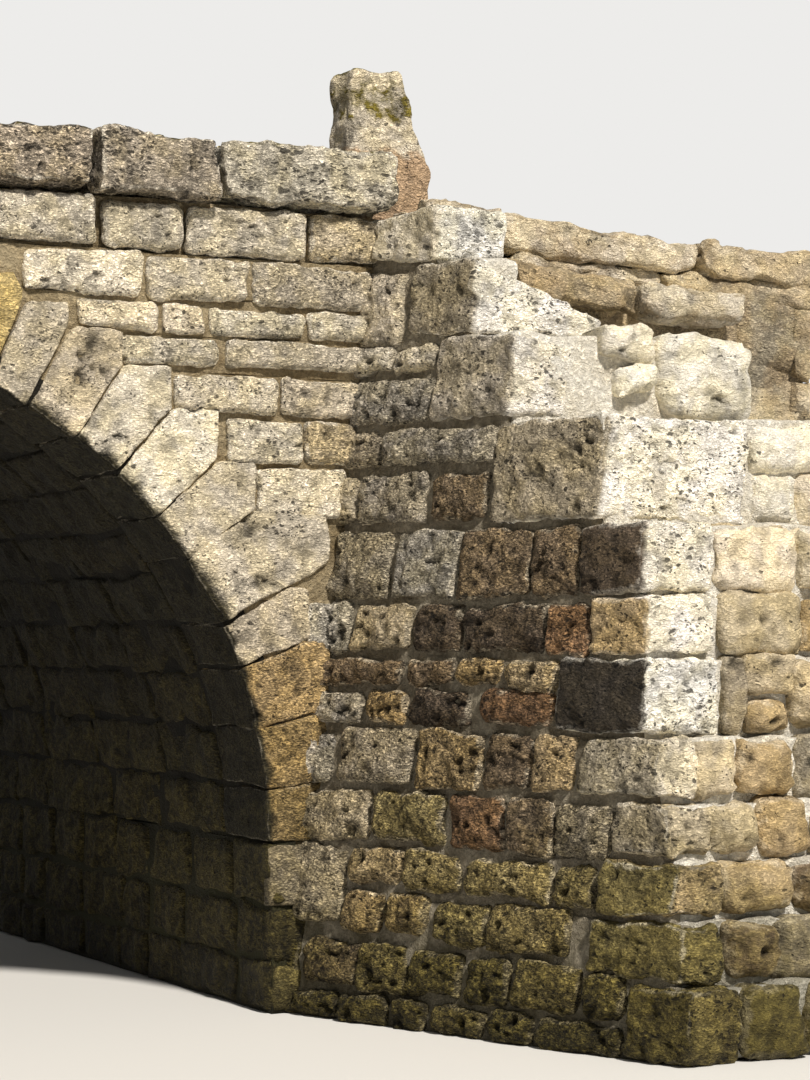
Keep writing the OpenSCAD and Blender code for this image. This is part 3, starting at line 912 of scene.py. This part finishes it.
for left, back, side in CORNERS:
    hero = side == SHOWN
    blocks = Masonry(111 + left + 2 * back, 0.019 if hero else 0.06, rough=0.008, wobble=0.014)
    blocks.pit_size = 0.015
    for i, (high, low) in enumerate(zip(COURSE_Z, COURSE_Z[1:])):
        low, high = low + 0.010, high - 0.010
        start, end = REACH[i] - CORNER_L[i], REACH[i]
        rings = []
        for level in (low, high):
            right = wing_x(end, low) + CORNER_W[i]
            worn_to = level - (BROKEN.get(i, 0) if level == high else 0)
            rings.append([(wing_x(start, level), -half_w - start, level),
                          (wing_x(end, level), -half_w - end, level),
                          (right, -half_w - end, worn_to), (right, -half_w - start, worn_to)])
        blocks.block(*rings, CORNER_COLOURS[i], edge=0.026,
                     pits=80 if i == SPLIT_STONE else 36, jitter=0.010,
                     cell=0.014 if hero and i == SPLIT_STONE else None, stain_and_shade=CORNER_STAINS[i],
                     holes=[*wing_holes, *CORNER_HOLES])
    blocks.finish(f"corner_stones_{side}", [f"wing_corner_{side}"], "corner_stone",
                  corner_stone, left, back)

    rubble = Masonry(121 + left + 2 * back, 0.019 if hero else 0.1, rough=0.007, wobble=0.024)
    for i, (high, low) in enumerate(zip(COURSE_Z, COURSE_Z[1:])):
        reach, far = REACH[i], wing_x(REACH[i], low) + END_W[i]
        for start, end, foot, top, colour in END_STONES.get(i, ()):
            rubble.stone(on_ledge(reach), panel(start, end, foot, top), colour,
                         proud=0.035 if i == FIRST_LEDGE else 0.01, depth=0.14, edge=0.034,
                         bulge=0.016, jitter=0.012, pits=1)
        if i >= FIRST_LEDGE:
            fill_course(rubble, on_flank(far), low, high, -half_w - reach + 0.02, -half_w, 0.28,
                        ["pale", "buff", "dull"], gap=0.03, edge=0.04, bulge=0.02, jitter=0.02,
                        cell=0.045 if hero else None)
        step = reach - REACH[i - 1]
        if i >= FIRST_LEDGE and step > 0.1:
            fill_course(rubble, on_step(high - 0.02), -half_w - reach + 0.04,
                        -half_w - reach + step, wing_x(reach, high) + CORNER_W[i] + 0.03,
                        far - 0.03, 0.26, ["pale", "buff", "dull"], edge=0.04, jitter=0.02,
                        cell=0.03 if hero else None)
    rubble.finish(f"wing_rubble_{side}", [], "rubble_stone", fill_stone, left, back)


# The approach walls: rubble laid dry behind the wings, under rough capping slabs that are worn
# and broken, and stained brown in places.
rubble_stone = stone_finish("rubble_limestone", smear="A08D6C", smeared=0.6, pitted=0.3,
                            green_top=0.8, green=0.4, moss=0.15, relief=0.012, coarse=0.75,
                            grimy=0.3, earthy=0.35)
end_x = 4.5
approach_y = 2.3
approach_in = 1.8
approach_top = 2.98
APPROACH_Z = [0, 0.26, 0.50, 0.79, 1.02, 1.30, 1.55, 1.83, 2.05, 2.33, 2.62, approach_top]
# Start and end along X, heights below and on top at both, the front edge and the colour.
CAP_SLABS = [
    (2.93, 3.88, (3.085, 3.07), (3.245, 3.205), 2.33, "pale"),
    (3.89, 4.52, (3.06, 3.04), (3.195, 3.17), 2.34, "cream"),
    (2.95, 3.70, (2.985, 2.97), (3.10, 3.08), 2.29, "pale"),
    (3.71, 4.52, (2.95, 2.92), (3.07, 3.05), 2.30, "cream"),
    (2.88, 3.52, (2.88, 2.87), (3.035, 3.00), 2.46, "buff"),
    (3.53, 4.05, (2.84, 2.82), (2.985, 2.96), 2.44, "pale"),
    (2.62, 2.93, (3.21, 3.21), (3.30, 3.26), 2.28, "pale"),
]


def on_approach(u, v, w):
    return np.stack([u, -approach_y - w, v], -1)


def on_end(u, v, w):
    return np.stack([end_x + w, u, v], -1)


for left, back, side in CORNERS:
    hero = side == SHOWN
    walling = Masonry(131 + left + 2 * back, 0.055 if hero else 0.13, rough=0.010, wobble=0.028)
    for low, high in zip(APPROACH_Z, APPROACH_Z[1:]):
        for place, start, end, length in ((on_approach, back_x, end_x + 0.01, 0.38),
                                          (on_end, -approach_y, -approach_in, 0.26)):
            fill_course(walling, place, low, high, start, end, length,
                        ["cream", "buff", "dull", "grey"], proud=-0.012, edge=0.035,
                        bulge=0.012, jitter=0.028, depth=0.12)
    walling.box((back_x, end_x - 0.04), (0.04 - approach_y, -approach_in), (0.01, approach_top),
                "dull", cell=0.12)
    walling.finish(f"approach_wall_stones_{side}", [f"approach_wall_{side}"], "rubble_stone",
                   rubble_stone, left, back)

    slabs = Masonry(141 + left + 2 * back, 0.031 if hero else 0.07, rough=0.008, wobble=0.028)
    for start, end, foot, tops, front, colour in CAP_SLABS:
        rings = [[(start, -front, zs[0]), (end, -front, zs[1]),
                  (end, -approach_in, zs[1] + 0.01), (start, -approach_in, zs[0] + 0.01)]
                 for zs in (foot, tops)]
        slabs.block(*rings, colour, edge=0.040, pits=8, jitter=0.014)
    slabs.finish(f"approach_cap_slabs_{side}", [f"approach_slabs_{side}"], "rubble_stone",
                 rubble_stone, left, back)


# The packing between the walls and the road bed on it: broken stone and earth, rammed in layers.
# It shows on top, between the copings, and at the two ends of the road.
def packed_finish(name, light, dark, size):
    made, tree = material(name)
    at = tree.add("ShaderNodeTexCoord", out="Object")
    gaps, grain = at.scatter(size), at.noise(60, 4)
    colour = gaps.beside("Color").part("X").blend(tone(dark), tone(light))
    colour = gaps.between(0.35, 0.7).blend(colour, tone("5F4E38"))
    trodden = at.noise(1.6, 5, 0.6).between(0.35, 0.65)
    colour = colour.scaled((0.75 + 0.5 * grain) * (0.82 + 0.34 * trodden))
    surface(tree, colour, 0.95, 1 - gaps + grain * 0.4, 0.012)
    return made


earth = packed_finish("packed_rubble", "A39474", "6E5D43", 14.0)
gravel = packed_finish("road_gravel", "ACA189", "7D7058", 38.0)

# Reach along X, half the width, heights, and size of cell.
CORES = [
    ((back_x, end_x - 0.07), 1.79, (0.02, 3.05), None),
    ((2.1, back_x), 2.0, (0.01, 0.9), 0.2),
    ((2.35, 2.95), 2.02, (2.85, 3.17), 0.2),
]
for left in (0, 1):
    core = Masonry(151 + left, 0.16, rough=0.010, wobble=0.016)
    for along, y, heights, cell in CORES:
        core.box(along, (-y, y), heights, "tan", cell=cell)
    core.finish(f"packing_{ENDS[left]}", [f"haunch_fill_{ENDS[left]}", f"approach_core_{ENDS[left]}"],
                "packing", earth, left)

loose_row, loose_y = 0.25, 1.78
for left in (0, 1):
    loose = Masonry(191 + left, 0.12, rough=0.012, wobble=0.045)
    for low in np.arange(0.0, 3.0, loose_row):
        fill_course(loose, on_end, low, low + loose_row, -loose_y, loose_y, 0.34,
                    ["brown", "dull", "tan", "sand"], proud=loose.random.uniform(-0.03, 0.0),
                    gap=0.07, edge=0.06, bulge=0.02, jitter=0.05, depth=0.12)
    loose.finish(f"packing_stones_{ENDS[left]}", [], "packing", rubble_stone, left)

road_low, road_top, road_y = 3.06, 3.205, 1.7
ROAD_ENDS = ((back_x, end_x), (-end_x, -back_x))
ROAD_SIDES = ((-approach_in, -1.6), (1.6, approach_in))
bed = Masonry(161, 0.2, rough=0.006, wobble=0.014)
bed.box((-end_x, end_x), (-road_y, road_y), (road_low, road_top), "tan")
for along in ROAD_ENDS:
    for across in ROAD_SIDES:
        bed.box(along, across, (road_low, road_top - 0.005), "tan")
bed.finish("road_surface", ["road_bed"], "road_gravel", gravel)


# The copings: seven big blocks of coarse, pitted limestone along each side, with open joints,
# rounded arrises and moss and lichen on their backs.
coping_stone = stone_finish("coping_limestone", smear="FAF1DE", smeared=0.7, pitted=0.85,
                            green_top=0.2, green=0.0, moss=0.7, relief=0.013, coarse=1.6,
                            grimy=0.4, fine=0.75, bedded=1.9, gape=1.8)
COPING_JOINTS = [-2.515, -1.72, -1.185, -0.36, 0.36, 1.185, 1.72, 2.515]
COPING_Y, COPING_H = (-2.168, -1.655), (0.008, 0.25)
coping_gap = 0.011

for back in (0, 1):
    blocks = Masonry(171 + back, 0.055, rough=0.009, wobble=0.014)
    blocks.pit_size, blocks.pit_shade = 0.018, 1.0
    for start, end in zip(COPING_JOINTS, COPING_JOINTS[1:]):
        hero = not back and start > -1
        colour = "light" if max(-start, end) > 2 else "weather"
        blocks.box((start + coping_gap, end - coping_gap), COPING_Y,
                   [coping_z + z for z in COPING_H], colour, edge=0.030, pits=36, jitter=0.012,
                   cell=(0.015, 0.04, 0.015) if hero else None)
    blocks.finish(f"coping_stones_{FACES[back]}", [f"coping_{FACES[back]}"], "coping_stone",
                  coping_stone, 0, back)


# The guard stones: one rough upright stone at each end of the copings keeps knocks off them.
# The foot is stained a pinkish brown up to a level line, and moss grows near the top.
guard_stone = stone_finish("guard_limestone", smeared=0.0, pitted=0.4, green_top=0.2, green=0.0,
                           moss=0.8, relief=0.012, foot=(3.56, 3.61), band=(3.74, 3.90))
# X, Y and Z of a corner of each ring, then its sizes along X and Y.
GUARD_RINGS = [(2.54, -1.65, 3.09, 0.45, 0.27), (2.54, -1.65, 3.62, 0.365, 0.24),
               (2.555, -1.62, 3.955, 0.225, 0.17)]

for left, back, side in CORNERS:
    stone = Masonry(181 + left + 2 * back, 0.018 if side == SHOWN else 0.036,
                    rough=0.006, wobble=0.018)
    rings = [[(x, y, z), (x + across, y, z), (x + across, y + deep, z - 0.02),
              (x, y + deep, z - 0.02)] for x, y, z, across, deep in GUARD_RINGS]
    stone.block(rings[0], rings[2], "pale", edge=0.035, middle=(0.62, rings[1]), pits=14)
    stone.finish(f"guard_stone_{side}", ["guard_stones"], "guard_stone", guard_stone, left, back)
